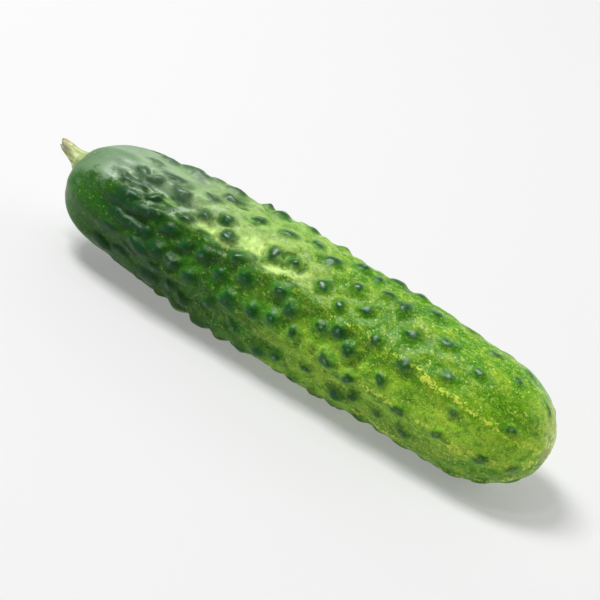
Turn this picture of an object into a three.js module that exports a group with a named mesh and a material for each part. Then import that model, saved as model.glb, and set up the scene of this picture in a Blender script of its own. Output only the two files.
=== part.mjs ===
// A short pickling cucumber as picked: one fruit covered in warts, with a stub of its stalk.
// Sizes are in millimetres. The fruit lies along X with its stem end at -X and +Z up.
// The origin is the middle of the small flat spot on its belly that it rests on.

import * as THREE from "three";

// Fruit body: three radii along its length, each end closed by a half ellipse.
const FRUIT_LENGTH = 126;
const BELLY_AT = 62; // from the stem end to the thickest section
const STEM_RADIUS = 11.65;
const BELLY_RADIUS = 14.25;
const BLOSSOM_RADIUS = 13.65;
const SHOULDER_LENGTH = 14;
const BLOSSOM_CAP_LENGTH = 18;

// The section is a soft triangle, flat side down at the belly, as the fruit has three chambers.
const TRIANGLE_SHARE = 0.022;
const TWIST = 0.3; // radians that the section turns over the whole length
const STEM_BOW = 2.9; // how far the stem end's centre stands aside from the belly's
const BLOSSOM_BOW = 0.7; // and the blossom end's, to the same side
const STEM_RISE = 1.2; // how far the stem end's centre stands above the belly's
const SINK = 0.35; // how deep the belly is flattened by its own weight

// Low relief of the skin.
const RIB_COUNT = 10;
const RIB_HEIGHT = 0.36;
const RIB_SHARE_AT_STEM = 1.3; // of that height, and one less at the blossom end
const RIB_START = 1.2; // radians of rib turn at the stem pole
const RIB_DRIFT = 0.03; // and radians more per millimetre along the skin
const RIB_SWAY = 0.9;
const RIB_SWAY_RATE = 0.05;
const RIB_FADE_LENGTH = 30; // the ribs fade out over this length before each pole
const SWELL_HEIGHT = 0.3;
// Each swell: share of the height, waves round the fruit, radians per millimetre along it, start.
const SWELLS = [
  [0.5, 2, 0.085, 1.1],
  [0.3, 4, -0.13, 0.4],
  [0.4, 1, 0.19, 2.2],
];
const FADE_LENGTH = 9; // and the swells over this one
const SEAT_OFFSET = 3.1; // the stalk stands this far above the stem pole, in a hollow
const SEAT_DEPTH = 0.8;
const SEAT_RADIUS = 3.4;
const SCAR_DEPTH = 0.4; // dimple where the flower dropped off
const SCAR_RADIUS = 2.4;

// Warts: random darts that keep a gap to the ones before, closer and longer at the stem end.
// Each row of values belongs to STATIONS, distances along the skin from the stem pole.
const SEED = 20417;
const DARTS = 3000;
const FIRST_WART_AT = 23;
const LAST_WART_BEFORE = 7; // from the blossom pole
const STATIONS = [23, 34, 48, 88, 106, 138];
const WART_GAP = [3.5, 3.8, 5.0, 5.5, 7.2, 8.4];
const WART_RADIUS = [1.9, 2.05, 2.05, 1.9, 1.8, 1.7];
const WART_HEIGHT = [0.45, 0.7, 0.95, 0.9, 0.5, 0.3];
const WART_STRETCH = [2.6, 2.0, 1.3, 1.15, 1.45, 1.6]; // length along the fruit over width
// Each wart's own share of those values lies in these ranges, and so do its radians of turn.
const GAP_RANGE = [0.72, 1.2];
const SIZE_RANGE = [0.78, 1.22];
const STRETCH_RANGE = [0.85, 1.15];
const TURN_RANGE = [-0.35, 0.35];
const FOOT_REACH = 2.2; // a wart's low foot, in wart radii
const FOOT_SHARE = 0.34; // and its share of the height
const DOME_POWER = 1; // 0.5 would be half a ball, and more is softer at the edge

// Mesh.
const EDGE = 1.45;
const SNAP_REACH = 2.6 * EDGE;
const SNAP_PULL = 0.3;

// Stalk: a five-angled stub that stands square on its seat and tapers to a torn tip.
const STALK_GAP = 0.35;
const STALK_REACH = 6.8;
const STALK_BEND_AT = 3;
const STALK_TIP_RISE = -0.4;
const STALK_TIP_ASIDE = 0.4;
const STALK_RADII = [2.45, 2.12, 1.88, 1.74, 1.64, 1.54, 1.44, 1.34, 1.2, 1.0];
const STALK_SIDES = 25;
const STALK_ANGLES = 5;
const STALK_ANGLE_SHARE = 0.08;
const TORN_SLANT = 0.5;
const TORN_NOTCH = 0.25;

const FULL_TURN = 2 * Math.PI;

const mix = (from, to, share) => from + (to - from) * share;
const clamp01 = (value) => Math.min(1, Math.max(0, value));
const ease = (share) => clamp01(share) ** 2 * (3 - 2 * clamp01(share));
const bell = (distance, width) => Math.exp(-((distance / width) ** 2));

// A value read at a distance along the skin from a row of values given at STATIONS.
function alongSkin(row, travel) {
  let i = 0;
  while (i < STATIONS.length - 2 && travel > STATIONS[i + 1]) {
    i += 1;
  }
  const share = (travel - STATIONS[i]) / (STATIONS[i + 1] - STATIONS[i]);
  return mix(row[i], row[i + 1], clamp01(share));
}

// A linear congruential generator of numbers from 0 up to 1.
function seededRandom(seed) {
  let state = seed;
  return () => {
    state = (state * 1664525 + 1013904223) % 4294967296;
    return state / 4294967296;
  };
}

// Radius of the plain body at a distance along its axis from the stem end.
function bodyRadius(axial) {
  const onStemSide = axial < BELLY_AT;
  const toEnd = onStemSide ? axial : FRUIT_LENGTH - axial;
  const halfLength = onStemSide ? BELLY_AT : FRUIT_LENGTH - BELLY_AT;
  const endRadius = onStemSide ? STEM_RADIUS : BLOSSOM_RADIUS;
  const capLength = onStemSide ? SHOULDER_LENGTH : BLOSSOM_CAP_LENGTH;
  const round = Math.sqrt(1 - (1 - clamp01(toEnd / capLength)) ** 2);
  return mix(endRadius, BELLY_RADIUS, ease(toEnd / halfLength)) * round;
}

// The body's outline from the stem pole to the blossom pole: x along the axis, y the radius.
class Outline extends THREE.Curve {
  getPoint(share) {
    const axial = (FRUIT_LENGTH * (1 - Math.cos(Math.PI * share))) / 2;
    return new THREE.Vector2(axial, bodyRadius(axial));
  }
}
const outline = new Outline();
outline.arcLengthDivisions = 2000;
const SKIN_LENGTH = outline.getLength();

// Place on the axis, radius and slope of the body at a distance along the skin.
function station(travel) {
  const share = clamp01(travel / SKIN_LENGTH);
  const step = 0.002;
  const before = outline.getPointAt(Math.max(0, share - step));
  const after = outline.getPointAt(Math.min(1, share + step));
  const slope = after.sub(before).normalize();
  const { x: axial, y: radius } = outline.getPointAt(share);
  return { axial, radius, forward: slope.x, outward: slope.y };
}

function centreline(axial) {
  const isStemSide = axial < BELLY_AT;
  const fromBelly2 = ((axial - BELLY_AT) / BELLY_AT) ** 2;
  const bow = (isStemSide ? STEM_BOW : BLOSSOM_BOW) * fromBelly2;
  const rise = isStemSide ? STEM_RISE * fromBelly2 : 0;
  const height = BELLY_RADIUS * (1 - TRIANGLE_SHARE) - SINK + rise;
  return new THREE.Vector3(axial - BELLY_AT, -bow, height);
}

// Offset on the skin from a wart's middle: along the fruit and round it.
function offsetFrom(wart, travel, angle, radius) {
  const turn = angle - wart.angle;
  const across = (turn - FULL_TURN * Math.round(turn / FULL_TURN)) * radius;
  return { forward: travel - wart.travel, across };
}

function throwWarts() {
  const random = seededRandom(SEED);
  const warts = [];
  for (let dart = 0; dart < DARTS; dart += 1) {
    const travel = mix(FIRST_WART_AT, SKIN_LENGTH - LAST_WART_BEFORE, random());
    const angle = FULL_TURN * random();
    const gap = alongSkin(WART_GAP, travel) * mix(...GAP_RANGE, random());
    const size = mix(...SIZE_RANGE, random());
    const stretch = alongSkin(WART_STRETCH, travel) * mix(...STRETCH_RANGE, random());
    const turn = mix(...TURN_RANGE, random());
    const { radius } = station(travel);
    const isClear = warts.every((wart) => {
      const { forward, across } = offsetFrom(wart, travel, angle, radius);
      return forward ** 2 + across ** 2 > gap ** 2;
    });
    if (isClear) {
      const reach = alongSkin(WART_RADIUS, travel) * size;
      const long = reach * Math.sqrt(stretch);
      const wide = reach / Math.sqrt(stretch);
      const height = alongSkin(WART_HEIGHT, travel) * size;
      warts.push({ travel, angle, long, wide, height, turn });
    }
  }
  return warts;
}

// Each wart is a round-topped dome on a low, wider foot that runs out into the skin.
function wartRelief(warts, travel, angle, radius) {
  let relief = 0;
  for (const wart of warts) {
    const { forward, across } = offsetFrom(wart, travel, angle, radius);
    if (Math.abs(forward) < FOOT_REACH * wart.long) {
      const cos = Math.cos(wart.turn);
      const sin = Math.sin(wart.turn);
      const x = (forward * cos + across * sin) / wart.long;
      const y = (across * cos - forward * sin) / wart.wide;
      const dome = clamp01(1 - x * x - y * y) ** DOME_POWER;
      const foot = clamp01(1 - (x * x + y * y) / FOOT_REACH ** 2) ** 2;
      relief += wart.height * mix(dome, foot, FOOT_SHARE);
    }
  }
  return relief;
}

// Ribs, slow swells, the stalk's seat and the flower's scar.
function lowRelief(travel, angle) {
  const toPole = Math.min(travel, SKIN_LENGTH - travel);
  const sway = RIB_SWAY * Math.sin(RIB_SWAY_RATE * travel);
  const ribTurn = RIB_COUNT * angle + RIB_START + RIB_DRIFT * travel + sway;
  const ribFade = ease(travel / RIB_FADE_LENGTH) * ease((SKIN_LENGTH - travel) / RIB_FADE_LENGTH);
  const ribs = RIB_HEIGHT * Math.cos(ribTurn) * (RIB_SHARE_AT_STEM - travel / SKIN_LENGTH) * ribFade;
  const swell = SWELLS.reduce(
    (sum, [share, around, along, start]) =>
      sum + share * Math.sin(around * angle + along * travel + start),
    0,
  );
  const aboveSeat = travel * Math.cos(angle) - SEAT_OFFSET;
  const seat = SEAT_DEPTH * bell(Math.hypot(aboveSeat, travel * Math.sin(angle)), SEAT_RADIUS);
  const scar = SCAR_DEPTH * bell(SKIN_LENGTH - travel, SCAR_RADIUS);
  return ribs + SWELL_HEIGHT * swell * ease(toPole / FADE_LENGTH) - seat - scar;
}

// The skin's point at a distance from the stem pole and an angle round the fruit, 0 at the top.
function skinPoint(warts, travel, angle) {
  const { axial, radius, forward, outward } = station(travel);
  const turned = angle + TWIST * ((axial - BELLY_AT) / FRUIT_LENGTH);
  const body = radius * (1 + TRIANGLE_SHARE * Math.cos(3 * turned));
  const relief = lowRelief(travel, angle) + wartRelief(warts, travel, angle, radius);
  const away = new THREE.Vector3(0, Math.sin(angle), Math.cos(angle));
  const point = centreline(axial).addScaledVector(away, body + relief * forward);
  point.x -= relief * outward;
  point.z = Math.max(0, point.z);
  return point;
}

// Rings of places on the skin at even distances, each with as many as its girth needs.
function skinRings() {
  const last = Math.round(SKIN_LENGTH / (EDGE * Math.sqrt(0.75)));
  const rings = [];
  for (let i = 0; i <= last; i += 1) {
    const travel = (SKIN_LENGTH * i) / last;
    const { radius } = station(travel);
    const isPole = i === 0 || i === last;
    const sides = isPole ? 1 : Math.max(6, Math.round((FULL_TURN * radius) / EDGE));
    const ring = [];
    for (let j = 0; j < sides; j += 1) {
      const angle = (FULL_TURN * (j + (i % 2) / 2)) / sides;
      ring.push({ travel, angle, radius });
    }
    rings.push(ring);
  }
  return rings;
}

// Moves the place nearest to each wart onto its middle and draws the ones around it closer.
function snapToWarts(rings, warts) {
  const places = rings.slice(1, -1).flat();
  for (const wart of warts) {
    const offsets = places.map((place) => offsetFrom(wart, place.travel, place.angle, place.radius));
    const distances = offsets.map(({ forward, across }) => Math.hypot(forward, across));
    const nearest = offsets[distances.indexOf(Math.min(...distances))];
    places.forEach((place, i) => {
      if (distances[i] < SNAP_REACH) {
        const forward = offsets[i].forward - nearest.forward;
        const across = offsets[i].across - nearest.across;
        const hold = (1 - clamp01(Math.hypot(forward, across) / SNAP_REACH) ** 2) ** 2;
        place.travel -= hold * (nearest.forward + SNAP_PULL * forward);
        place.angle -= (hold * (nearest.across + SNAP_PULL * across)) / place.radius;
      }
    });
  }
}

// Joins two neighbouring rings with triangles, stepping along whichever ring lags behind.
// A ring's shift is how far its first place is turned, in steps; a pole is a ring of one.
function zipPair(index, left, right) {
  const leftSteps = left.count > 1 ? left.count : 0;
  const rightSteps = right.count > 1 ? right.count : 0;
  let i = 0;
  let j = 0;
  while (i < leftSteps || j < rightSteps) {
    const onLeft = left.start + (i % left.count);
    const onRight = right.start + (j % right.count);
    const leftLags = (i + 1 + left.shift) / left.count < (j + 1 + right.shift) / right.count;
    if (j >= rightSteps || (i < leftSteps && leftLags)) {
      i += 1;
      index.push(onLeft, onRight, left.start + (i % left.count));
    } else {
      j += 1;
      index.push(onLeft, onRight, right.start + (j % right.count));
    }
  }
}

function zipRings(counts, shiftOfOdd) {
  const index = [];
  let start = 0;
  for (let i = 0; i + 1 < counts.length; i += 1) {
    const left = { start, count: counts[i], shift: (i % 2) * shiftOfOdd };
    start += counts[i];
    zipPair(index, left, { start, count: counts[i + 1], shift: ((i + 1) % 2) * shiftOfOdd });
  }
  return index;
}

function closedGeometry(points, index) {
  const geometry = new THREE.BufferGeometry().setFromPoints(points);
  geometry.setIndex(index);
  geometry.computeVertexNormals();
  return geometry;
}

function fruitGeometry() {
  const warts = throwWarts();
  const rings = skinRings();
  snapToWarts(rings, warts);
  const points = rings.flat().map(({ travel, angle }) => skinPoint(warts, travel, angle));
  return closedGeometry(points, zipRings(rings.map((ring) => ring.length), 0.5));
}

function stalkGeometry() {
  const bend = new THREE.QuadraticBezierCurve3(
    new THREE.Vector3(0, 0, 0),
    new THREE.Vector3(-STALK_BEND_AT, 0, 0),
    new THREE.Vector3(-STALK_REACH, STALK_TIP_ASIDE, STALK_TIP_RISE),
  );
  const last = STALK_RADII.length - 1;
  const points = [bend.getPoint(0)];
  STALK_RADII.forEach((radius, i) => {
    const middle = bend.getPoint(i / last);
    const forward = bend.getTangent(i / last);
    const aside = new THREE.Vector3(0, 1, 0);
    const up = aside.clone().cross(forward).normalize();
    for (let j = 0; j < STALK_SIDES; j += 1) {
      const angle = (FULL_TURN * j) / STALK_SIDES;
      const reach = radius * (1 + STALK_ANGLE_SHARE * Math.cos(STALK_ANGLES * angle));
      const torn = TORN_SLANT * Math.cos(angle) + TORN_NOTCH * Math.cos(3 * angle);
      const point = middle.clone().addScaledVector(aside, reach * Math.cos(angle));
      point.addScaledVector(up, reach * Math.sin(angle));
      point.addScaledVector(forward, i === last ? torn : 0);
      points.push(point);
    }
  });
  points.push(bend.getPoint(1));
  return closedGeometry(points, zipRings([1, ...STALK_RADII.map(() => STALK_SIDES), 1], 0));
}

const skin = new THREE.MeshStandardMaterial({ color: 0x5f8f2c, roughness: 0.42, metalness: 0 });
const fibre = new THREE.MeshStandardMaterial({ color: 0xaebf7e, roughness: 0.75, metalness: 0 });

const fruit = new THREE.Mesh(fruitGeometry(), skin);
fruit.name = "fruit";

const stalk = new THREE.Mesh(stalkGeometry(), fibre);
stalk.name = "stalk";
const seat = station(SEAT_OFFSET);
const away = new THREE.Vector3(-seat.outward, 0, seat.forward);
stalk.position.copy(skinPoint([], SEAT_OFFSET, 0)).addScaledVector(away, STALK_GAP);
stalk.rotation.y = Math.atan2(seat.forward, seat.outward);

const cucumber = new THREE.Group();
cucumber.add(fruit, stalk);

export default cucumber;
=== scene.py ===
"""A short pickling cucumber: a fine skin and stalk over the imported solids, in a plain pale studio.

The skin and the stalk are shaped in millimetres by the rules of the part's source, with the stem
end at -X, and get finer relief. Meshes are made in metres.
"""

import math

import bpy
import numpy as np
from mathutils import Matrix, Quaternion, Vector


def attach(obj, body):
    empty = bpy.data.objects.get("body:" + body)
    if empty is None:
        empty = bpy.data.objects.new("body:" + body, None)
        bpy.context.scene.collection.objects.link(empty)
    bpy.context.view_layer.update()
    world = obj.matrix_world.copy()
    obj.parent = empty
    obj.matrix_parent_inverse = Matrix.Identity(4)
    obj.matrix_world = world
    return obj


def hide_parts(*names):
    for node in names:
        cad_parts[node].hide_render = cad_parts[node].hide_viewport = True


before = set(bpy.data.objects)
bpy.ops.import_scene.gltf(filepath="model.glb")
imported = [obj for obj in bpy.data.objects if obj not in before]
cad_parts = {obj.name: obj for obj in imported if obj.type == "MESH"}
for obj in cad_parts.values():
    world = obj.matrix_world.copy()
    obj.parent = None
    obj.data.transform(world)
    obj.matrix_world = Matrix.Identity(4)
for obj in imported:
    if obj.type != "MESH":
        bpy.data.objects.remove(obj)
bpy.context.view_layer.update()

# ---------------------------------------------------------------- camera

CAMERA_AZIMUTH = 26.0
CAMERA_ELEVATION = 28.0
CAMERA_ROLL = 18.1
CAMERA_DISTANCE = 0.60
CAMERA_LENS = 168.0
CAMERA_SENSOR = 36.0
CAMERA_TARGET = (-0.001, 0.0, 0.0145)
CAMERA_CLIP = (0.01, 50.0)


def make_camera():
    camera = bpy.data.objects.new("camera", bpy.data.cameras.new("camera"))
    bpy.context.scene.collection.objects.link(camera)
    bpy.context.scene.camera = camera
    turn, rise = math.radians(CAMERA_AZIMUTH), math.radians(CAMERA_ELEVATION)
    level = math.cos(rise)
    back = Vector((math.sin(turn) * level, -math.cos(turn) * level, math.sin(rise)))
    camera.location = Vector(CAMERA_TARGET) + back * CAMERA_DISTANCE
    aim = (-back).to_track_quat("-Z", "Y")
    camera.rotation_mode = "QUATERNION"
    camera.rotation_quaternion = aim @ Quaternion((0, 0, 1), math.radians(CAMERA_ROLL))
    camera.data.lens = CAMERA_LENS
    camera.data.sensor_width = CAMERA_SENSOR
    camera.data.clip_start, camera.data.clip_end = CAMERA_CLIP


make_camera()

# ---------------------------------------------------------------- shape, as in the part's source

FULL_TURN = 2 * math.pi

# The body.
FRUIT_LENGTH = 126.0
BELLY_AT = 62.0
STEM_RADIUS = 11.65
BELLY_RADIUS = 14.25
BLOSSOM_RADIUS = 13.65
SHOULDER_LENGTH = 14.0
BLOSSOM_CAP_LENGTH = 18.0
TRIANGLE_SHARE = 0.022
TWIST = 0.3
STEM_BOW = 2.9
BLOSSOM_BOW = 0.7
STEM_RISE = 1.2
SINK = 0.35
OUTLINE_POINTS = 2001
SLOPE_STEP = 0.002

# Ribs, swells, the stalk's seat and the flower scar.
RIB_COUNT = 10
RIB_HEIGHT = 0.36
RIB_SHARE_AT_STEM = 1.3
RIB_START = 1.2
RIB_DRIFT = 0.03
RIB_SWAY = 0.9
RIB_SWAY_RATE = 0.05
RIB_FADE_LENGTH = 30.0
SWELL_HEIGHT = 0.3
SWELLS = ((0.5, 2, 0.085, 1.1), (0.3, 4, -0.13, 0.4), (0.4, 1, 0.19, 2.2))
FADE_LENGTH = 9.0
SEAT_OFFSET = 3.1
SEAT_DEPTH = 0.8
SEAT_RADIUS = 3.4
SCAR_DEPTH = 0.4
SCAR_RADIUS = 2.4

# Warts, with their measures at stations along the skin.
SEED = 20417
RANDOM_FACTOR = 1664525
RANDOM_STEP = 1013904223
RANDOM_RANGE = 4294967296
DARTS = 3000
FIRST_WART_AT = 23.0
LAST_WART_BEFORE = 7.0
STATIONS = (23, 34, 48, 88, 106, 138)
WART_GAP = (3.5, 3.8, 5.0, 5.5, 7.2, 8.4)
WART_RADIUS = (1.9, 2.05, 2.05, 1.9, 1.8, 1.7)
WART_HEIGHT = (0.45, 0.7, 0.95, 0.9, 0.5, 0.3)
WART_STRETCH = (2.6, 2.0, 1.3, 1.15, 1.45, 1.6)
GAP_RANGE = (0.72, 1.2)
SIZE_RANGE = (0.78, 1.22)
STRETCH_RANGE = (0.85, 1.15)
TURN_RANGE = (-0.35, 0.35)
FOOT_REACH = 2.2
FOOT_SHARE = 0.34

# The stalk.
STALK_GAP = 0.35
STALK_REACH = 6.8
STALK_BEND_AT = 3.0
STALK_TIP_RISE = -0.4
STALK_TIP_ASIDE = 0.4
STALK_RADII = (2.45, 2.12, 1.88, 1.74, 1.64, 1.54, 1.44, 1.34, 1.2, 1.0)
STALK_ANGLES = 5
STALK_ANGLE_SHARE = 0.08
TORN_SLANT = 0.5
TORN_NOTCH = 0.25


def mix(low, high, share):
    return low + (high - low) * share


def clamp01(value):
    return np.clip(value, 0.0, 1.0)


def ease(share):
    share = clamp01(share)
    return share**2 * (3 - 2 * share)


def bell(distance, width):
    return np.exp(-((distance / width) ** 2))


def seeded_random(seed):
    state = seed
    while True:
        state = (state * RANDOM_FACTOR + RANDOM_STEP) % RANDOM_RANGE
        yield state / RANDOM_RANGE


def body_radius(axial):
    on_stem_side = axial < BELLY_AT
    to_end = np.where(on_stem_side, axial, FRUIT_LENGTH - axial)
    half_length = np.where(on_stem_side, BELLY_AT, FRUIT_LENGTH - BELLY_AT)
    end_radius = np.where(on_stem_side, STEM_RADIUS, BLOSSOM_RADIUS)
    cap_length = np.where(on_stem_side, SHOULDER_LENGTH, BLOSSOM_CAP_LENGTH)
    round_end = np.sqrt(1 - (1 - clamp01(to_end / cap_length)) ** 2)
    return mix(end_radius, BELLY_RADIUS, ease(to_end / half_length)) * round_end


def axial_at(share):
    return FRUIT_LENGTH * (1 - np.cos(np.pi * share)) / 2


OUTLINE_SHARE = np.linspace(0, 1, OUTLINE_POINTS)
OUTLINE_AXIAL = axial_at(OUTLINE_SHARE)
OUTLINE_STEPS = np.hypot(np.diff(OUTLINE_AXIAL), np.diff(body_radius(OUTLINE_AXIAL)))
OUTLINE_TRAVEL = np.concatenate(([0], np.cumsum(OUTLINE_STEPS)))
SKIN_LENGTH = OUTLINE_TRAVEL[-1]


def outline_at(travel):
    axial = axial_at(np.interp(travel, OUTLINE_TRAVEL, OUTLINE_SHARE))
    return axial, body_radius(axial)


def station(travel):
    """Place on the axis, radius and slope of the body at distances along the skin."""
    step = SLOPE_STEP * SKIN_LENGTH
    axial_before, radius_before = outline_at(np.clip(travel - step, 0, SKIN_LENGTH))
    axial_after, radius_after = outline_at(np.clip(travel + step, 0, SKIN_LENGTH))
    length = np.hypot(axial_after - axial_before, radius_after - radius_before)
    forward = (axial_after - axial_before) / length
    outward = (radius_after - radius_before) / length
    axial, radius = outline_at(travel)
    return axial, radius, forward, outward


def centreline(axial):
    on_stem_side = axial < BELLY_AT
    from_belly2 = ((axial - BELLY_AT) / BELLY_AT) ** 2
    bow = np.where(on_stem_side, STEM_BOW, BLOSSOM_BOW) * from_belly2
    rise = np.where(on_stem_side, STEM_RISE, 0.0) * from_belly2
    height = BELLY_RADIUS * (1 - TRIANGLE_SHARE) - SINK + rise
    return axial - BELLY_AT, -bow, height


def wart_measure(values, travel):
    return float(np.interp(travel, STATIONS, values))


def throw_warts():
    """Darts thrown over the skin, each kept as a wart where it lands clear of the earlier ones."""
    random = seeded_random(SEED)
    warts = []
    for _ in range(DARTS):
        travel = mix(FIRST_WART_AT, SKIN_LENGTH - LAST_WART_BEFORE, next(random))
        angle = FULL_TURN * next(random)
        gap = wart_measure(WART_GAP, travel) * mix(*GAP_RANGE, next(random))
        size = mix(*SIZE_RANGE, next(random))
        stretch = wart_measure(WART_STRETCH, travel) * mix(*STRETCH_RANGE, next(random))
        turn = mix(*TURN_RANGE, next(random))
        radius = float(outline_at(travel)[1])
        is_clear = True
        for wart in warts:
            forward = travel - wart["travel"]
            if abs(forward) < gap:
                around = angle - wart["angle"]
                across = (around - FULL_TURN * round(around / FULL_TURN)) * radius
                if forward**2 + across**2 <= gap**2:
                    is_clear = False
                    break
        if is_clear:
            reach = wart_measure(WART_RADIUS, travel) * size
            warts.append({
                "travel": travel,
                "angle": angle,
                "long": reach * math.sqrt(stretch),
                "wide": reach / math.sqrt(stretch),
                "height": wart_measure(WART_HEIGHT, travel) * size,
                "turn": turn,
            })
    return warts


def offset_from(wart, travel, angle, radius):
    around = angle - wart["angle"]
    across = (around - FULL_TURN * np.round(around / FULL_TURN)) * radius
    return travel - wart["travel"], across


def rib_turn(travel, angle):
    sway = RIB_SWAY * np.sin(RIB_SWAY_RATE * travel)
    return RIB_COUNT * angle + RIB_START + RIB_DRIFT * travel + sway


def low_relief(travel, angle):
    """Ribs and swells, less the stalk's seat and the flower scar."""
    to_pole = np.minimum(travel, SKIN_LENGTH - travel)
    rib_fade = ease(travel / RIB_FADE_LENGTH) * ease((SKIN_LENGTH - travel) / RIB_FADE_LENGTH)
    ribs = RIB_HEIGHT * np.cos(rib_turn(travel, angle)) * (RIB_SHARE_AT_STEM - travel / SKIN_LENGTH)
    swell = sum(
        share * np.sin(around * angle + along * travel + start)
        for share, around, along, start in SWELLS
    )
    above_seat = travel * np.cos(angle) - SEAT_OFFSET
    seat = SEAT_DEPTH * bell(np.hypot(above_seat, travel * np.sin(angle)), SEAT_RADIUS)
    scar = SCAR_DEPTH * bell(SKIN_LENGTH - travel, SCAR_RADIUS)
    return ribs * rib_fade + SWELL_HEIGHT * swell * ease(to_pole / FADE_LENGTH) - seat - scar


# ---------------------------------------------------------------- repeatable noise

HASH_FACTORS = (374761393, 668265263, 1440662683, 144665731)
HASH_MIX = 1274126177
WORD = 0xFFFFFFFF
HALF_WORD = 0xFFFF


def lattice(ix, iy, iz, seed):
    """A repeatable value from -1 to 1 at each whole-numbered place."""
    h = sum(place * factor for place, factor in zip((ix, iy, iz, seed), HASH_FACTORS)) & WORD
    h = ((h ^ (h >> 13)) * HASH_MIX) & WORD
    h = h ^ (h >> 16)
    return (h & HALF_WORD) / (HALF_WORD / 2) - 1


def smooth_noise(x, y, z, seed):
    """Smoothly varying value noise from -1 to 1 with a step of one unit."""
    cell = [np.floor(v).astype(np.int64) for v in (x, y, z)]
    part = [ease(v - c) for v, c in zip((x, y, z), cell)]
    total = 0
    for corner in np.ndindex(2, 2, 2):
        share = 1
        for step, p in zip(corner, part):
            share = share * (p if step else 1 - p)
        total = total + share * lattice(*(c + step for c, step in zip(cell, corner)), seed)
    return total


def skin_noise(along, around, long_step, round_step, seed):
    """Noise over the skin. around is the place (y, z) across the fruit. Steps are millimetres."""
    y, z = around
    return smooth_noise(along / long_step, y / round_step, z / round_step, seed)


def across_fruit(angle, radius):
    return radius * np.sin(angle), radius * np.cos(angle)


def part_way(travel, start, rise, end, fall):
    """1 on part of the skin, easing in over rise from start and out over fall from end."""
    return ease((travel - start) / rise) * (1 - ease((travel - end) / fall))


# ---------------------------------------------------------------- warts, crests and net

# How far the warts' outlines wander, and the step and seeds of the noise that moves them.
WARP = 0.4
WARP_STEP = 1.7
WARP_SEEDS = (31, 32)

# A low collar stands round each wart's foot, past a shallow moat. Places and widths are in wart
# radii, and heights are shares of the wart's height.
COLLAR_AT = 2.3
COLLAR_WIDTH = 0.5
COLLAR_SHARE = 0.19
MOAT_AT = 1.45
MOAT_WIDTH = 0.35
MOAT_SHARE = 0.14

# Collars are lower on the shoulder and grow to their full height from here, over this length.
SHOULDER_COLLAR_SHARE = 0.35
COLLAR_GROWTH = (28.0, 18.0)

# How much of the skin each wart is worked out on: its radius times the reach, and a margin.
WART_REACH = 3.4
WART_MARGIN = 1.0

# What the attributes say where no wart is near.
NO_DOME = 3.0
NO_SPOT = 9.0

# From one wart to the next, the step of the number from 0 to 1 that tells warts apart.
NUMBER_STEP = 0.618

# Crests on the shoulder and the net between the warts follow the zero lines of a noise. Steps are
# those along the fruit and round it. A warp bends the lines. A span is the start, rise, end and
# fall of part_way.
CREST_HEIGHT = 0.32
CREST_STEPS = (9.0, 2.2)
CREST_SEED = 13
CREST_WIDTH = 0.5
CREST_WARP = 5.0
CREST_WARP_STEPS = (7.0, 4.0)
CREST_WARP_SEED = 15
CREST_SPAN = (16.0, 12.0, 46.0, 24.0)
NET_HEIGHT = 0.46
NET_STEPS = (4.6, 3.2)
NET_SEED = 14
NET_MIDDLE = 0.5
NET_WARP = 2.5
NET_WARP_STEPS = (5.0, 3.0)
NET_WARP_SEED = 16
NET_SPAN = (22.0, 12.0, 96.0, 24.0)

# Crests are lower down the sides, below this cosine of the angle from the top and this span.
LOW_CREST_SHARE = 0.45
TOP_FROM = 0.35
TOP_SPAN = 0.35

# Unevenness all over the skin: height, steps along and round, and seed.
UNEVEN = ((0.08, 5.5, 4.0, 11), (0.04, 2.0, 1.5, 12))
POLE_FADE = 5.0


def wart_field(warts, travel, angle, radius):
    """Relief of the warts and of the collars round them, how near the nearest wart is in its own
    radii, and the offset from its middle with its number."""
    relief = np.zeros_like(travel)
    collars = np.zeros_like(travel)
    nearest = np.full_like(travel, NO_DOME)
    spot = np.full(travel.shape + (3,), NO_SPOT)
    rows = travel[:, 0]
    around = across_fruit(angle, radius)
    warps = [WARP * skin_noise(travel, around, WARP_STEP, WARP_STEP, seed) for seed in WARP_SEEDS]
    for number, wart in enumerate(warts):
        reach = WART_REACH * wart["long"] + WART_MARGIN
        near = np.nonzero(np.abs(rows - wart["travel"]) < reach)[0]
        band = slice(near[0], near[-1] + 1)
        forward, across = offset_from(wart, travel[band], angle[band], radius[band])
        forward, across = forward + warps[0][band], across + warps[1][band]
        cos, sin = math.cos(wart["turn"]), math.sin(wart["turn"])
        x = (forward * cos + across * sin) / wart["long"]
        y = (across * cos - forward * sin) / wart["wide"]
        squared = x * x + y * y
        foot = clamp01(1 - squared / FOOT_REACH**2) ** 2
        relief[band] += wart["height"] * mix(clamp01(1 - squared), foot, FOOT_SHARE)
        distance = np.sqrt(squared)
        rim = COLLAR_SHARE * bell(distance - COLLAR_AT, COLLAR_WIDTH)
        moat = MOAT_SHARE * bell(distance - MOAT_AT, MOAT_WIDTH)
        collars[band] += wart["height"] * (rim - moat)
        closer = distance < nearest[band]
        nearest[band] = np.where(closer, distance, nearest[band])
        own_number = np.full_like(forward, (number * NUMBER_STEP) % 1)
        for axis, value in enumerate((forward, across, own_number)):
            spot[band, :, axis] = np.where(closer, value, spot[band, :, axis])
    start, length = COLLAR_GROWTH
    collars *= mix(SHOULDER_COLLAR_SHARE, 1.0, ease((travel - start) / length))
    return relief, collars, nearest, spot


def shoulder_crests(travel, angle, radius):
    """Wrinkles that run along the shoulder among its warts: 1 on a crest, 0 between."""
    around = across_fruit(angle, radius)
    along = travel + CREST_WARP * skin_noise(travel, around, *CREST_WARP_STEPS, CREST_WARP_SEED)
    wrinkle = 1 - np.abs(skin_noise(along, around, *CREST_STEPS, CREST_SEED)) / CREST_WIDTH
    height = mix(LOW_CREST_SHARE, 1.0, ease((np.cos(angle) - TOP_FROM) / TOP_SPAN))
    return ease(wrinkle) * part_way(travel, *CREST_SPAN) * height


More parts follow.
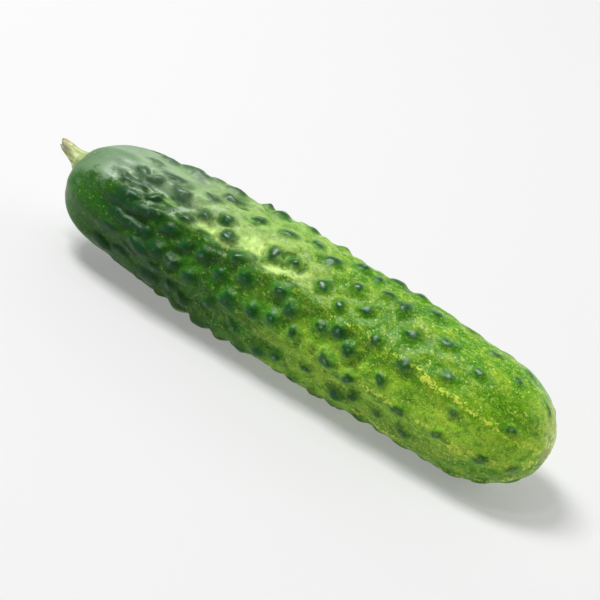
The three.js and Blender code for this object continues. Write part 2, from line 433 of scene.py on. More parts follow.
def fine_relief(travel, angle, radius):
    """Small unevenness of the skin and a low net between the warts."""
    around = across_fruit(angle, radius)
    uneven = sum(height * skin_noise(travel, around, *rest) for height, *rest in UNEVEN)
    along = travel + NET_WARP * skin_noise(travel, around, *NET_WARP_STEPS, NET_WARP_SEED)
    net = NET_MIDDLE - np.abs(skin_noise(along, around, *NET_STEPS, NET_SEED))
    net_height = NET_HEIGHT * part_way(travel, *NET_SPAN)
    to_pole = np.minimum(travel, SKIN_LENGTH - travel)
    return (uneven + net_height * net) * ease(to_pole / POLE_FADE)


# ---------------------------------------------------------------- meshes

MM = 0.001
SKIN_RINGS = 352
SKIN_SIDES = 248

# The dark shoulder's edge is tilted: it lies further along the fruit on one side.
SHOULDER_SHIFT = 6.0
SHOULDER_TILT = 10.0
SHOULDER_TURN = 2.0

# The distance from a rib that the skin's material reads at the stem's pole.
STRIPE_AT_STEM = 4.0


def corner_uvs(us, vs):
    """The (u, v) of every face corner, from arrays or numbers for a face's corners in turn."""
    values = np.broadcast_arrays(*us, *vs)
    u, v = (np.stack(part, -1) for part in (values[:len(us)], values[len(us):]))
    return np.stack((u, v), -1).reshape(-1, 2)


def grid_mesh(name, first, rows, last, attributes, along):
    """A closed tube of rings with a pole at each end, from points in millimetres.

    rows is rings x sides x 3. Each attribute has a value for every point, poles included. The bake
    map is the tube cut along one line and laid flat, and along is each ring's place up it.
    """
    rings, sides = rows.shape[:2]
    points = np.concatenate(([first], rows.reshape(-1, 3), [last])) * MM
    ring, side = np.meshgrid(np.arange(rings - 1), np.arange(sides), indexing="ij")
    after = (side + 1) % sides
    near, far = 1 + ring * sides, 1 + (ring + 1) * sides
    quads = np.stack((near + side, far + side, far + after, near + after), axis=-1)
    side, after = side[0], after[0]
    end = 1 + (rings - 1) * sides
    start_fan = np.stack((np.zeros(sides, int), 1 + side, 1 + after), axis=-1)
    end_fan = np.stack((end + side, np.full(sides, len(points) - 1), end + after), axis=-1)
    faces = start_fan.tolist() + quads.reshape(-1, 4).tolist() + end_fan.tolist()
    mesh = bpy.data.meshes.new(name)
    mesh.from_pydata(points.tolist(), [], faces)
    mesh.polygons.foreach_set("use_smooth", [True] * len(faces))
    for key, values in attributes.items():
        values = np.asarray(values, dtype=np.float32)
        kind, field = ("FLOAT", "value") if values.ndim == 1 else ("FLOAT_VECTOR", "vector")
        mesh.attributes.new(key, kind, "POINT").data.foreach_set(field, values.ravel())
    left, right = side / sides, (side + 1) / sides
    middle = (left + right) / 2
    before, beyond = along[:-1, None], along[1:, None]
    uv = np.concatenate((
        corner_uvs((middle, left, right), (0.0, along[0], along[0])),
        corner_uvs((left, left, right, right), (before, beyond, beyond, before)),
        corner_uvs((left, middle, right), (along[-1], 1.0, along[-1])),
    ))
    mesh.uv_layers.new(name="OFBake").data.foreach_set("uv", uv.astype(np.float32).ravel())
    mesh.update()
    piece = bpy.data.objects.new(name, mesh)
    bpy.context.scene.collection.objects.link(piece)
    return piece


def with_poles(at_first, values, at_last):
    return np.concatenate(([at_first], values.reshape((-1,) + values.shape[2:]), [at_last]))


def skin_points(travel, angle, relief):
    axial, radius, forward, outward = station(travel)
    turned = angle + TWIST * ((axial - BELLY_AT) / FRUIT_LENGTH)
    body = radius * (1 + TRIANGLE_SHARE * np.cos(3 * turned))
    x, y, z = centreline(axial)
    out = body + relief * forward
    x = x - relief * outward
    y = y + out * np.sin(angle)
    z = np.maximum(0, z + out * np.cos(angle))
    return np.stack((x, y, z), axis=-1)


def pole_point(travel):
    travel = np.array(travel)
    axial, _, _, outward = station(travel)
    x, y, z = centreline(axial)
    return np.array((x - low_relief(travel, np.array(0.0)) * outward, y, z))


def rib_distance(travel, angle, radius):
    """Distance across the skin from the nearest rib's line."""
    turns = rib_turn(travel, angle) / FULL_TURN
    return np.abs((turns + 0.5) % 1 - 0.5) * FULL_TURN * radius / RIB_COUNT


def make_skin():
    """The fruit's skin, with the attributes that its material reads.

    travel is the distance along the skin from the stem end, dome the distance from the nearest wart
    in its radii, spot the offset from its middle and its number, stripe the distance from a rib,
    upward 1 on top of the fruit and -1 under it, crest the shoulder's wrinkles, lift the height of
    the relief that the solids don't have, and ripe the travel past the shoulder's tilted edge.
    """
    rings = SKIN_LENGTH * np.arange(1, SKIN_RINGS) / SKIN_RINGS
    sides = FULL_TURN * np.arange(SKIN_SIDES) / SKIN_SIDES
    travel, angle = np.meshgrid(rings, sides, indexing="ij")
    radius = outline_at(travel)[1]
    relief, collars, nearest, spot = wart_field(throw_warts(), travel, angle, radius)
    crests = shoulder_crests(travel, angle, radius)
    lift = fine_relief(travel, angle, radius) + CREST_HEIGHT * crests + collars
    relief = relief + low_relief(travel, angle) + lift
    shoulder_edge = SHOULDER_SHIFT + SHOULDER_TILT * np.cos(angle + SHOULDER_TURN)
    no_spot = (NO_SPOT, NO_SPOT, 0.0)
    attributes = {
        "travel": with_poles(0.0, travel, SKIN_LENGTH),
        "dome": with_poles(NO_DOME, nearest, NO_DOME),
        "spot": with_poles(no_spot, spot, no_spot),
        "stripe": with_poles(STRIPE_AT_STEM, rib_distance(travel, angle, radius), 0.0),
        "upward": with_poles(0.0, np.cos(angle), 0.0),
        "crest": with_poles(0.0, crests, 0.0),
        "lift": with_poles(0.0, lift, 0.0),
        "ripe": with_poles(0.0, travel - shoulder_edge, SKIN_LENGTH),
    }
    first, last = pole_point(0.0), pole_point(SKIN_LENGTH)
    rows = skin_points(travel, angle, relief)
    return grid_mesh("skin", first, rows, last, attributes, rings / SKIN_LENGTH)


# ---------------------------------------------------------------- stalk

STALK_RINGS = 90
STALK_SIDES = 120

# The stalk's foot goes this deep into its seat, easing out over the first share of its length.
STALK_ROOT = 0.9
STALK_ROOT_SHARE = 0.12

# Fibres, fine fibres and knots: height, step along, size round the stalk in noise steps, and seed.
STALK_GRAIN = ((0.10, 6.0, 4.16, 21), (0.045, 2.5, 10.4, 22), (0.06, 1.4, 2.0, 23))

# The foot flares, the tip narrows and the torn end is slanted and rough. "From" is a share of the
# stalk's length.
FLARE_HEIGHT = 0.35
FLARE_LENGTH = 0.9
TIP_NARROWING = 0.12
TIP_NARROWS_FROM = 0.93
TORN_FROM = 0.78
TORN_HEIGHT, TORN_SIZE, TORN_SEED = 0.3, 3.4, 24

# Past its rim the torn end is a shallow cup: rings go on inwards to its middle.
CUP_SHARES = np.array((0.86, 0.7, 0.5, 0.3, 0.12))
CUP_MIDDLE_DEPTH = 0.5
CUP_DEPTH = 0.35
CUP_ROUGHNESS, CUP_STEPS, CUP_SIZE, CUP_SEED = 0.16, 9.0, 3.0, 25
CUP_REACH = 8.0

# The parts of the bake map's height that the stalk's side and its cup take up.
SIDE_MAP_SPAN = (0.02, 0.85)
CUP_MAP_SPAN = (0.88, 0.98)


def stand_on_seat(points):
    """Turns the stalk's own points, which run along -X, square to its seat and puts them there."""
    travel, angle = np.array([SEAT_OFFSET]), np.array([0.0])
    _, _, forward, outward = (v[0] for v in station(travel))
    away = np.array((-outward, 0, forward))
    seat = skin_points(travel, angle, low_relief(travel, angle))[0] + away * STALK_GAP
    up = np.array((forward, 0, outward))
    return seat - points[..., :1] * away + points[..., 1:2] * (0, 1, 0) + points[..., 2:] * up


def stalk_curve(t):
    """The stalk's middle and its direction at shares t of its length."""
    aside, rise = STALK_TIP_ASIDE, STALK_TIP_RISE
    x = -2 * t * (1 - t) * STALK_BEND_AT - t**2 * STALK_REACH
    x_rate = -2 * (1 - 2 * t) * STALK_BEND_AT - 2 * t * STALK_REACH
    middle = np.stack((x, t**2 * aside, t**2 * rise), -1)
    tangent = np.stack((x_rate, 2 * t * aside, 2 * t * rise), -1)
    return middle, tangent / np.linalg.norm(tangent, axis=-1, keepdims=True)


def ring_noise(along, angle, size, seed):
    return smooth_noise(along, size * np.cos(angle), size * np.sin(angle), seed)


def stalk_radius(t, angle):
    length = t * STALK_REACH
    wide = np.interp(t, np.linspace(0, 1, len(STALK_RADII)), STALK_RADII)
    wide = wide * (1 + STALK_ANGLE_SHARE * np.cos(STALK_ANGLES * angle))
    wide = wide + FLARE_HEIGHT * bell(length, FLARE_LENGTH)
    for height, step, size, seed in STALK_GRAIN:
        wide = wide + height * ring_noise(length / step, angle, size, seed)
    return wide * (1 - TIP_NARROWING * ease((t - TIP_NARROWS_FROM) / (1 - TIP_NARROWS_FROM)))


def cup_rows(centre, rim, tip, angle):
    """Rings from the rim inwards, over a shallow rough cup that opens towards tip."""
    rows = []
    for share in CUP_SHARES:
        place = np.full(len(angle), share * CUP_STEPS)
        rough = CUP_ROUGHNESS * ring_noise(place, angle, CUP_SIZE * share, CUP_SEED)
        rows.append(mix(centre, rim, share) + tip * (rough - CUP_DEPTH * (1 - share))[:, None])
    return np.array(rows)


def make_stalk():
    """The stalk. Its material reads the attribute reach, the distance along it."""
    sides = FULL_TURN * np.arange(STALK_SIDES) / STALK_SIDES
    t, angle = np.meshgrid(np.linspace(0, 1, STALK_RINGS), sides, indexing="ij")
    middle, tangent = stalk_curve(t)
    aside = np.array((0.0, 1.0, 0.0))
    up = np.cross(np.broadcast_to(aside, tangent.shape), tangent)
    up /= np.linalg.norm(up, axis=-1, keepdims=True)
    wide = stalk_radius(t, angle)
    torn = TORN_SLANT * np.cos(angle) + TORN_NOTCH * np.cos(3 * angle)
    torn = torn + TORN_HEIGHT * ring_noise(0 * t, angle, TORN_SIZE, TORN_SEED)
    torn = torn * ease((t - TORN_FROM) / (1 - TORN_FROM))
    side = middle + aside * (wide * np.cos(angle))[..., None]
    side = side + up * (wide * np.sin(angle))[..., None] + tangent * torn[..., None]

    tip = tangent[-1]
    centre = middle[-1, 0] - tip[0] * CUP_MIDDLE_DEPTH
    cup = cup_rows(centre, side[-1], tip, sides)
    root = np.array((STALK_ROOT, 0, 0))
    side = side + root * (1 - ease(t[..., None] / STALK_ROOT_SHARE))
    own_points = root, np.concatenate((side, cup)), centre - tip[0] * CUP_DEPTH
    first, rows, last = (stand_on_seat(points) for points in own_points)

    side_map = np.linspace(*SIDE_MAP_SPAN, STALK_RINGS)
    cup_map = np.linspace(*CUP_MAP_SPAN, len(CUP_SHARES))
    reach = np.concatenate((t * STALK_REACH, np.full(cup.shape[:2], CUP_REACH)))
    attributes = {"reach": with_poles(0.0, reach, CUP_REACH)}
    along = np.concatenate((side_map, cup_map))
    return grid_mesh("stalk_fibre", first, rows, last, attributes, along)


# ---------------------------------------------------------------- material nodes


def srgb(red, green, blue):
    def linear(value):
        value /= 255
        return value / 12.92 if value <= 0.04045 else ((value + 0.055) / 1.055) ** 2.4

    return (linear(red), linear(green), linear(blue), 1.0)


class Nodes:
    """A material's node tree, with each common node made by one call."""

    def __init__(self, name):
        self.material = bpy.data.materials.new(name)
        self.material.use_nodes = True
        self.tree = self.material.node_tree
        self.shader = self.tree.nodes["Principled BSDF"]

    def wire(self, socket, value):
        if isinstance(value, bpy.types.NodeSocket):
            self.tree.links.new(value, socket)
        elif value is not None:
            socket.default_value = value

    def surface(self, values):
        """Sets or links the shader's own sockets by their names."""
        for name, value in values.items():
            self.wire(self.shader.inputs[name], value)

    def attribute(self, name, output="Fac"):
        node = self.tree.nodes.new("ShaderNodeAttribute")
        node.attribute_name = name
        return node.outputs[output]

    def place(self, stretch=(1, 1, 1)):
        """Object coordinates in millimetres, divided by stretch along each axis."""
        coordinates = self.tree.nodes.new("ShaderNodeTexCoord")
        mapping = self.tree.nodes.new("ShaderNodeMapping")
        mapping.inputs["Scale"].default_value = [1 / MM / s for s in stretch]
        self.wire(mapping.inputs["Vector"], coordinates.outputs["Object"])
        return mapping.outputs["Vector"]

    def math(self, operation, first, second=None):
        node = self.tree.nodes.new("ShaderNodeMath")
        node.operation = operation
        self.wire(node.inputs[0], first)
        self.wire(node.inputs[1], second)
        return node.outputs[0]

    def add(self, first, second):
        return self.math("ADD", first, second)

    def product(self, first, *factors):
        for factor in factors:
            first = self.math("MULTIPLY", first, factor)
        return first

    def vector(self, operation, first, second=None):
        node = self.tree.nodes.new("ShaderNodeVectorMath")
        node.operation = operation
        self.wire(node.inputs[0], first)
        self.wire(node.inputs[1], second)
        return node.outputs["Value" if operation == "LENGTH" else "Vector"]

    def part(self, vector, axis):
        node = self.tree.nodes.new("ShaderNodeSeparateXYZ")
        self.wire(node.inputs[0], vector)
        return node.outputs[axis]

    def noise(self, vector, scale=1.0, detail=2.0, rough=0.5, distort=0.0):
        node = self.tree.nodes.new("ShaderNodeTexNoise")
        self.wire(node.inputs["Vector"], vector)
        node.inputs["Scale"].default_value = scale
        node.inputs["Detail"].default_value = detail
        node.inputs["Roughness"].default_value = rough
        node.inputs["Distortion"].default_value = distort
        return node.outputs["Fac"]

    def long_noise(self, stretch, *settings):
        """Noise whose forms are longer along the fruit than across it by the stretch."""
        return self.noise(self.place((stretch, 1, 1)), *settings)

    def cells(self, vector, scale):
        node = self.tree.nodes.new("ShaderNodeTexVoronoi")
        self.wire(node.inputs["Vector"], vector)
        node.inputs["Scale"].default_value = scale
        return node.outputs["Distance"]

    def remap(self, value, low, high, to_low=0.0, to_high=1.0, smooth=True):
        node = self.tree.nodes.new("ShaderNodeMapRange")
        node.interpolation_type = "SMOOTHSTEP" if smooth else "LINEAR"
        keys = ("Value", "From Min", "From Max", "To Min", "To Max")
        for key, item in zip(keys, (value, low, high, to_low, to_high)):
            self.wire(node.inputs[key], item)
        return node.outputs["Result"]

    def sway(self, noise, amount, low=0.3, high=0.7):
        """From -amount to amount as the noise goes from low to high."""
        return self.remap(noise, low, high, -amount, amount, smooth=False)

    def blend(self, share, first, second):
        node = self.tree.nodes.new("ShaderNodeMix")
        node.data_type = "RGBA"
        factor, first_colour, second_colour = node.inputs[0], node.inputs[6], node.inputs[7]
        self.wire(factor, share)
        self.wire(first_colour, first)
        self.wire(second_colour, second)
        return node.outputs[2]

    def ramp(self, value, stops):
        node = self.tree.nodes.new("ShaderNodeValToRGB")
        elements = node.color_ramp.elements
        while len(elements) < len(stops):
            elements.new(0.5)
        for element, (position, colour) in zip(elements, stops):
            element.position = position
            element.color = colour
        self.wire(node.inputs["Fac"], value)
        return node.outputs["Color"]

    def bump(self, height, distance, strength, normal=None):
        node = self.tree.nodes.new("ShaderNodeBump")
        node.inputs["Distance"].default_value = distance
        node.inputs["Strength"].default_value = strength
        self.wire(node.inputs["Height"], height)
        self.wire(node.inputs["Normal"], normal)
        return node.outputs["Normal"]


# ---------------------------------------------------------------- skin's material

# Colours are in sRGB levels. The skin's own colour changes along it, in millimetres past the
# shoulder's tilted edge. The palest, last stop at the flower end is partly its own paler tip and
# partly a painted highlight along the rim.
GROUND_COLOURS = (
    (0, (34, 88, 26)),
    (14, (20, 72, 12)),
    (27, (16, 70, 8)),
    (40, (36, 92, 6)),
    (54, (74, 124, 12)),
    (74, (100, 150, 20)),
    (98, (114, 166, 26)),
    (114, (136, 196, 32)),
    (126, (172, 224, 62)),
    (133, (222, 242, 140)),
)

# Marks and zones. A pair has the colour on the stem's side, then that on the flower's side.
# Partly the skin's own lime, partly painted light on the upper side.
LIME_AND_PAINTED_LIGHT = srgb(226, 252, 146)
UPPER_GREEN = srgb(72, 140, 0)
LOWER_GREEN = srgb(160, 216, 60)
# Painted shade low on the shoulder's sides.
SHOULDER_PAINTED_SHADE = srgb(14, 66, 0)
# Painted shade along the middle of the sides.
MIDDLE_PAINTED_SHADE = srgb(48, 108, 6)
# Painted shade under the flower end.
UNDERSIDE_PAINTED_SHADE = srgb(46, 112, 20)
DEEP_PATCH = srgb(58, 132, 14)
WARM_PATCH = srgb(164, 192, 44)
# Painted shade in the low places between the warts.
HOLLOW_PAINTED_SHADE = srgb(20, 80, 4)
DARK_MOTTLE = srgb(54, 116, 14)
LIGHT_MOTTLE = srgb(184, 218, 74)
PALE_FLECKS = (srgb(176, 230, 112), srgb(206, 222, 92))
DARK_FLECK = srgb(52, 104, 10)
STREAK = srgb(214, 230, 88)
SPECKS = (srgb(166, 214, 104), srgb(206, 228, 110))
# Painted highlight on the shoulder's crests.
CREST_PAINTED_HIGHLIGHT = srgb(146, 194, 104)
MOUNDS = (srgb(12, 62, 10), srgb(46, 118, 24))
WART_TOPS = (srgb(16, 68, 30), srgb(6, 78, 24))
SPINE_SCAR = srgb(140, 184, 136)
# Partly the shoulder's wax bloom, partly a painted sheen of the overhead light.
WAX_AND_PAINTED_SHEEN = srgb(148, 174, 142)
BELLY = srgb(180, 204, 96)
FLOWER_SCAR = srgb(150, 144, 84)

# Where the flower scar's colour starts and is full, in millimetres before the flower end.
FLOWER_SCAR_SPAN = (2.4, 0.8)

SKIN_FINISH = {
    "IOR": 1.35,
    "Specular IOR Level": 0.3,
    "Coat Roughness": 0.32,
    "Sheen Weight": 0.1,
    "Sheen Roughness": 0.45,
    "Sheen Tint": (0.88, 1.0, 0.72, 1),
    "Subsurface Weight": 0.06,
    "Subsurface Radius": (1.0, 1.4, 0.4),
    "Subsurface Scale": 0.0008,
}


# The functions below read the attributes that make_skin describes, so travel is in millimetres and
# upward goes from 1 on top to -1 underneath. near is dome with a ragged edge. A remap is an eased
# step from its first place to its second.


def zone_colours(n, travel, upward):
    """Dark shoulder, lime zone, green middle and yellow-green flower end, and how lime it is. The
    lime holds painted light, and bands lower on the sides are painted shade.
    """
    ripe = n.add(n.attribute("ripe"), n.sway(n.long_noise(2.5, 0.2, 3), 6.0, 0.25, 0.75))
    stops = [(at / SKIN_LENGTH, srgb(*colour)) for at, colour in GROUND_COLOURS]
    ground = n.ramp(n.math("DIVIDE", ripe, float(SKIN_LENGTH)), stops)

    # Past the shoulder the upper side is lime, in clumps, less so in low places and on the top.
    # This lime is partly the skin's own and partly painted light: the upper side is painted lighter
    # where the overhead light falls, and painted shade keeps it darker in the low places.
    uneven_height = n.add(upward, n.sway(n.long_noise(2, 0.3, 3), 0.1))
    edge = n.math("SUBTRACT", uneven_height, n.remap(travel, 44.0, 62.0, 0.0, 0.07))
    lime_and_painted_light = n.product(
        n.remap(ripe, 25.0, 39.0),
        n.remap(travel, 82.0, 60.0),
        n.remap(edge, 0.58, 0.69),
        n.remap(n.long_noise(1.5, 0.75, 2, 0.5, 0.8), 0.34, 0.5, 0.7, 1.0),
        n.remap(n.attribute("lift"), -0.08, 0.12, 0.5, 1.0),
        n.remap(upward, 0.8, 0.96, 1.0, 0.35),
    )
    ground = n.blend(lime_and_painted_light, ground, LIME_AND_PAINTED_LIGHT)

    # Past the middle the upper side is a deeper, purer green.
    from_middle, to_end = n.remap(travel, 68.0, 100.0), n.remap(travel, 138.0, 120.0)
    share = n.product(from_middle, n.remap(upward, 0.4, 0.8), to_end, 0.9)
    ground = n.blend(share, ground, UPPER_GREEN)

    # Past the lime zone's start the lower side is paler.
    past_shoulder, strength = n.remap(ripe, 42.0, 68.0), n.remap(travel, 104.0, 124.0, 0.6, 0.85)
    share = n.product(past_shoulder, n.remap(upward, 0.46, 0.16), strength)
    ground = n.blend(share, ground, LOWER_GREEN)

    # Painted shade: a dark band low on the shoulder's sides, below its lit upper side.
    lowest = n.remap(travel, 40.0, 60.0, 0.8, 0.15)
    share = n.product(
        n.remap(travel, 18.0, 30.0),
        n.remap(travel, 88.0, 46.0),
        n.remap(uneven_height, 0.72, 0.6),
        n.remap(upward, 0.42, 0.2, 0.8, lowest),
    )
    ground = n.blend(share, ground, SHOULDER_PAINTED_SHADE)

    # A fainter band of painted shade goes on from it along the middle of the fruit's sides.
    share = n.product(
        n.remap(travel, 62.0, 78.0),
        n.remap(travel, 110.0, 94.0, 0.0, 0.3),
        n.remap(upward, 0.32, 0.48),
        n.remap(upward, 0.8, 0.66),
    )
    ground = n.blend(share, ground, MIDDLE_PAINTED_SHADE)

    # Painted shade: the flower end is deeper green again on its underside.
    share = n.product(n.remap(travel, 84.0, 104.0), n.remap(upward, -0.15, -0.45, 0.0, 0.65))
    return n.blend(share, ground, UNDERSIDE_PAINTED_SHADE), lime_and_painted_light


def skin_ground(n, travel, upward):
    """The skin's colour between the warts, with patches, mottling and flecks, and the painted light
    and shade of its zones and hollows.
    """
    ground, lime_and_painted_light = zone_colours(n, travel, upward)

    # Patches of deeper green and of yellow green, longer than wide. The lime zone stays plainer.
    patch = n.long_noise(1.7, 0.27, 2, 0.5, 0.6)
    plain = n.remap(lime_and_painted_light, 0.0, 1.0, 1.0, 0.35)
    deep = n.product(n.remap(patch, 0.5, 0.36), n.remap(travel, 26.0, 56.0), plain, 0.55)
    ground = n.blend(deep, ground, DEEP_PATCH)
    warm = n.product(n.remap(patch, 0.5, 0.64), n.remap(travel, 54.0, 90.0), 0.4)
    ground = n.blend(warm, ground, WARM_PATCH)

    # Painted shade: the low places between the warts are deeper green.
    hollow_shade = n.remap(n.attribute("lift"), 0.1, -0.06)
    among_warts = n.remap(travel, 18.0, 34.0), n.remap(travel, 116.0, 84.0)
    ground = n.blend(n.product(hollow_shade, *among_warts, 0.6), ground, HOLLOW_PAINTED_SHADE)

    # Fine mottling.
    dark = n.remap(n.long_noise(1.3, 0.75, 3, 0.6, 0.8), 0.32, 0.56, 0.5, 0.0)
    ground = n.blend(n.product(dark, plain), ground, DARK_MOTTLE)
    light = n.remap(n.long_noise(1.4, 1.1, 3, 0.6, 0.6), 0.52, 0.68)
    light = n.product(light, n.remap(travel, 30.0, 84.0, 0.06, 0.45))
    ground = n.blend(light, ground, LIGHT_MOTTLE)

    # Small yellow and dark green flecks, densest past the middle.
    flecks = n.long_noise(1.2, 1.7, 2, 0.6, 1.5)
    pale = n.product(n.remap(flecks, 0.54, 0.66), n.remap(travel, 40.0, 90.0, 0.06, 0.5))
    ground = n.blend(pale, ground, n.blend(n.remap(travel, 54.0, 90.0), *PALE_FLECKS))
    dark = n.product(n.remap(flecks, 0.46, 0.34, 0.0, 0.5), plain)
    return n.blend(dark, ground, DARK_FLECK)


def skin_streaks(n, travel, upward):
    """Broken lines of yellow beads that run up from the flower end along the ribs."""
    from_rib = n.add(n.attribute("stripe"), n.sway(n.long_noise(3, 0.5, 1), 0.7))
    width = n.remap(travel, 66.0, 128.0, 0.6, 1.7)
    band = n.product(
        n.remap(from_rib, width, 0.0),
        n.remap(travel, 60.0, 96.0),
        n.remap(upward, 0.78, 0.6, 0.25, 1.0),
        n.remap(n.long_noise(9, 0.9, 1), 0.32, 0.5),
    )
    beads = n.long_noise(1.15, 1.5, 1, 0.5, 0.8)
    bead_edge = n.remap(band, 0.0, 1.0, 0.72, 0.44, smooth=False)
    return n.product(n.remap(beads, bead_edge, n.add(bead_edge, 0.12)), 0.95)


def skin_marks(n, ground, travel, upward, place):
    """Adds yellow dashes along the ribs, small round specks, and a painted highlight on the crests
    of the shoulder's upper side.
    """
    ground = n.blend(skin_streaks(n, travel, upward), ground, STREAK)
    speck = n.product(
        n.remap(n.cells(place, 0.85), 0.24, 0.12),
        n.remap(n.noise(place, 0.35, 1), 0.45, 0.58),
        n.remap(travel, 34.0, 90.0, 0.25, 0.75),
    )
    ground = n.blend(speck, ground, n.blend(n.remap(travel, 50.0, 90.0), *SPECKS))
    # Painted highlight: the shoulder's crests are paler on its upper side, where the light catches
    # them.
    crest = n.product(n.attribute("crest"), n.remap(upward, 0.5, 0.78, 0.04, 0.5))
    return n.blend(crest, ground, CREST_PAINTED_HIGHLIGHT)


def spine_scar(n, travel, place):
    """Share of a small uneven pale scar on each wart, where its spine broke off."""
    spot = n.attribute("spot", "Vector")
    from_middle = n.vector("LENGTH", n.vector("MULTIPLY", spot, (1.0, 1.0, 0.0)))
    chance = n.math("FRACT", n.product(n.part(spot, "Z"), 7.31))
    ragged = n.sway(n.noise(place, 1.9, 2, 0.7), 0.16)
    size, strength = n.remap(chance, 0.0, 1.0, 0.3, 0.7), n.remap(chance, 0.0, 1.0, 0.1, 0.5)
    scar = n.remap(n.add(from_middle, ragged), size, 0.0)
    return n.product(scar, strength, n.remap(travel, 36.0, 80.0, 0.35, 1.0))


def wart_colours(n, ground, travel, near, place):
    """Adds warts, dark bluish green on mounds of mid green with soft edges. Also returns the share
    of their tops."""
    mound = n.product(n.remap(near, 1.6, 0.7), n.remap(travel, 60.0, 110.0, 0.65, 0.4))
    colour = n.blend(mound, ground, n.blend(n.remap(travel, 38.0, 66.0), *MOUNDS))
    top_edge = n.remap(travel, 50.0, 80.0, 1.05, 0.86)
    top = n.product(n.remap(near, top_edge, 0.35), n.remap(travel, 84.0, 120.0, 0.95, 0.7))
    colour = n.blend(top, colour, n.blend(n.remap(travel, 30.0, 70.0), *WART_TOPS))
    return n.blend(spine_scar(n, travel, place), colour, SPINE_SCAR), top


def wax_and_painted_sheen(n, travel, upward, near, ragged):
    """Share of the wax over the shoulder's upper side, thin on warts and in low places. It sets the
    coat, and half of it is painted into the colour as a pale film: partly real wax bloom, partly a
    painted sheen of the overhead light.
    """
    edge = n.remap(travel, 8.0, 26.0, 0.3, 0.68)
    in_hollows = n.remap(travel, 14.0, 28.0, 1.0, 0.7)
    return n.product(
        n.remap(n.add(upward, ragged), edge, 0.82),
        n.remap(near, 0.6, 1.3, 0.3, 1.0),
        n.remap(travel, 60.0, 24.0),
        n.remap(n.attribute("lift"), -0.04, 0.28, in_hollows, 1.3),
        n.remap(travel, 2.0, 16.0),
    )


def skin_gloss(n, travel, upward, top, wax_and_sheen):
    """Roughness and coat. Wart tops are smoother than the rest, and they and the film shine."""
    smoother = n.product(top, n.remap(travel, 30.0, 46.0, 0.04, 0.14))
    rough = n.math("SUBTRACT", n.remap(n.long_noise(2, 0.5, 3), 0.3, 0.7, 0.38, 0.5), smoother)
    wax = n.product(wax_and_sheen, n.remap(travel, 14.0, 34.0, 0.4, 0.28))
    upper, past_shoulder = n.remap(upward, 0.0, 0.6, 0.14, 0.34), n.remap(travel, 30.0, 46.0, 0.45)
    return rough, n.math("MAXIMUM", wax, n.product(top, upper, past_shoulder))


def skin_bumps(n, dome, place):
    """Bumps too small for the mesh: the rim of each wart, a ripple all over, and pores."""
    normal = n.bump(n.remap(dome, 1.35, 0.1), 0.0004, 0.6)
    normal = n.bump(n.noise(place, 0.9, 3, 0.6), 0.00018, 0.6, normal)
    return n.bump(n.noise(place, 3.2, 2), 0.00005, 0.35, normal)


def skin_material():
    n = Nodes("skin")
    travel, upward, dome = n.attribute("travel"), n.attribute("upward"), n.attribute("dome")
    place = n.place()
    ground = skin_marks(n, skin_ground(n, travel, upward), travel, upward, place)
    near = n.add(dome, n.sway(n.noise(place, 0.9, 3, 0.6), 0.2))
    colour, top = wart_colours(n, ground, travel, near, place)
    ragged = n.sway(n.long_noise(1.6, 0.4, 4, 0.65), 0.26)
    wax_and_sheen = wax_and_painted_sheen(n, travel, upward, near, ragged)
    # Partly real wax bloom, partly a painted sheen: pale grey-green painted over the shoulder's
    # upper side, where the overhead light is reflected.
    colour = n.blend(n.product(wax_and_sheen, 0.5), colour, WAX_AND_PAINTED_SHEEN)

    # The belly lay on the ground and stayed paler.
    belly_edge = n.add(upward, n.product(ragged, 0.8))
    along_belly = n.remap(travel, 16.0, 44.0, 0.0, 0.35), n.remap(travel, 106.0, 84.0)
    belly = n.product(n.remap(belly_edge, -0.55, -1.0), *along_belly)
    colour = n.blend(belly, colour, BELLY)

    # The dry scar of the flower.
    torn = n.sway(n.noise(place, 0.9, 3, 0.7), 1.1)
    flower = n.remap(n.add(travel, torn), *(SKIN_LENGTH - before for before in FLOWER_SCAR_SPAN))
    colour = n.blend(n.product(flower, 0.8), colour, FLOWER_SCAR)

    rough, coat = skin_gloss(n, travel, upward, top, wax_and_sheen)
    normal = skin_bumps(n, dome, place)
    n.surface({"Base Color": colour, "Roughness": rough, "Coat Weight": coat, "Normal": normal})
    n.surface(SKIN_FINISH)
    return n.material


# ---------------------------------------------------------------- stalk's material

FIBRES = (srgb(146, 164, 88), srgb(208, 216, 160))
STALK_FOOT = srgb(104, 142, 60)
DRY_STALK = srgb(162, 152, 120)
PITH = srgb(140, 122, 92)
STALK_ROUGHNESS = 0.62


def stalk_material():
    """Pale fibres, green at the foot, drying to grey brown at the torn end, with brown pith."""
    n = Nodes("stalk_fibre")
    reach = n.attribute("reach")
    fibre = n.long_noise(6, 1.6, 4, 0.6)
    colour = n.blend(n.remap(fibre, 0.35, 0.65), *FIBRES)
    colour = n.blend(n.product(n.remap(reach, 1.6, 0.2), 0.5), colour, STALK_FOOT)
    blotch = n.remap(n.noise(n.place(), 0.8, 3), 0.3, 0.7, -1.6, 1.6)
    dry = n.remap(n.add(reach, blotch), 3.2, 5.6)
    colour = n.blend(n.product(dry, 0.8), colour, DRY_STALK)
    colour = n.blend(n.product(n.remap(reach, 6.4, 7.6), 0.7), colour, PITH)
    normal = n.bump(fibre, 0.0002, 0.6)
    n.surface({"Base Color": colour, "Roughness": STALK_ROUGHNESS, "Normal": normal})
    return n.material


# ---------------------------------------------------------------- pieces

skin = make_skin()
skin.data.materials.append(skin_material())
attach(skin, "root")
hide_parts("fruit")

stalk = make_stalk()
stalk.data.materials.append(stalk_material())
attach(stalk, "root")
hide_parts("stalk")

# ---------------------------------------------------------------- studio

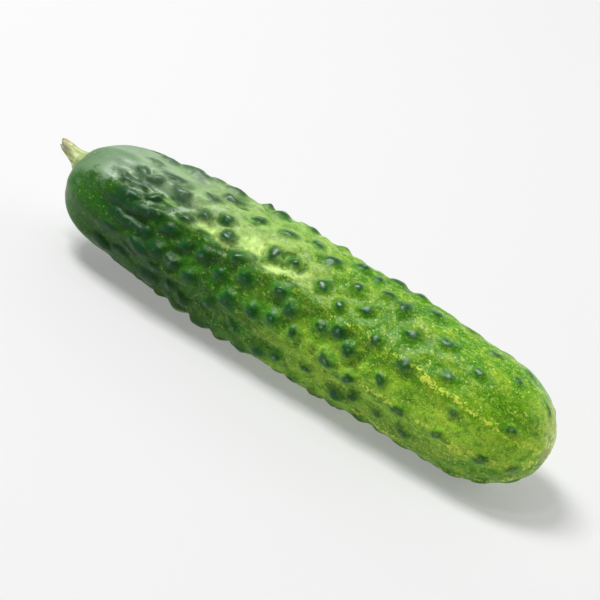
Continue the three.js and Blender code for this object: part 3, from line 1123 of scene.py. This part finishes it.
WHITE = (1, 1, 1, 1)
FLOOR_HALF_WIDTH = 4
FLOOR_FINISH = {
    "Base Color": (0.45, 0.45, 0.45, 1),
    "Emission Color": WHITE,
    "Emission Strength": 0.28,
    "Roughness": 0.9,
}
WORLD_STRENGTH = 0.12

# Name, place, what it aims at, width, depth and radiance.
SOFTBOXES = (
    ("top", (0.0, 0.1, 1.2), (0.0, 0.1, 0.0), 0.9, 0.9, 0.7),
    ("key", (-0.50, -0.08, 0.95), (0.0, 0.0, 0.0), 0.36, 0.36, 29.5),
    ("glint", (-0.15, -0.35, 1.05), (0.0, 0.0, 0.0), 0.12, 0.12, 26.0),
    ("backdrop", (0.0, 1.3, 0.5), (0.0, 0.0, 0.2), 2.4, 1.0, 1.0),
    ("rim", (0.9, 0.5, 0.45), (0.0, 0.0, 0.0), 0.8, 0.8, 1.8),
)


def make_floor():
    side = FLOOR_HALF_WIDTH
    corners = [(-side, -side, 0), (side, -side, 0), (side, side, 0), (-side, side, 0)]
    mesh = bpy.data.meshes.new("floor")
    mesh.from_pydata(corners, [], [(0, 1, 2, 3)])
    floor = bpy.data.objects.new("floor", mesh)
    bpy.context.scene.collection.objects.link(floor)
    n = Nodes("floor")
    n.surface(FLOOR_FINISH)
    mesh.materials.append(n.material)


def make_softbox(name, place, aim, width, depth, radiance):
    light = bpy.data.lights.new(name, "AREA")
    light.shape = "RECTANGLE"
    light.size, light.size_y = width, depth
    light.energy = radiance * math.pi * width * depth
    lamp = bpy.data.objects.new(name, light)
    bpy.context.scene.collection.objects.link(lamp)
    lamp.location = place
    lamp.rotation_euler = (Vector(aim) - Vector(place)).to_track_quat("-Z", "Y").to_euler()
    lamp.visible_camera = False


def make_world():
    world = bpy.data.worlds.new("studio")
    bpy.context.scene.world = world
    world.use_nodes = True
    background = world.node_tree.nodes["Background"]
    background.inputs["Color"].default_value = WHITE
    background.inputs["Strength"].default_value = WORLD_STRENGTH


make_floor()
for softbox in SOFTBOXES:
    make_softbox(*softbox)
make_world()
bpy.context.scene.view_settings.view_transform = "Standard"
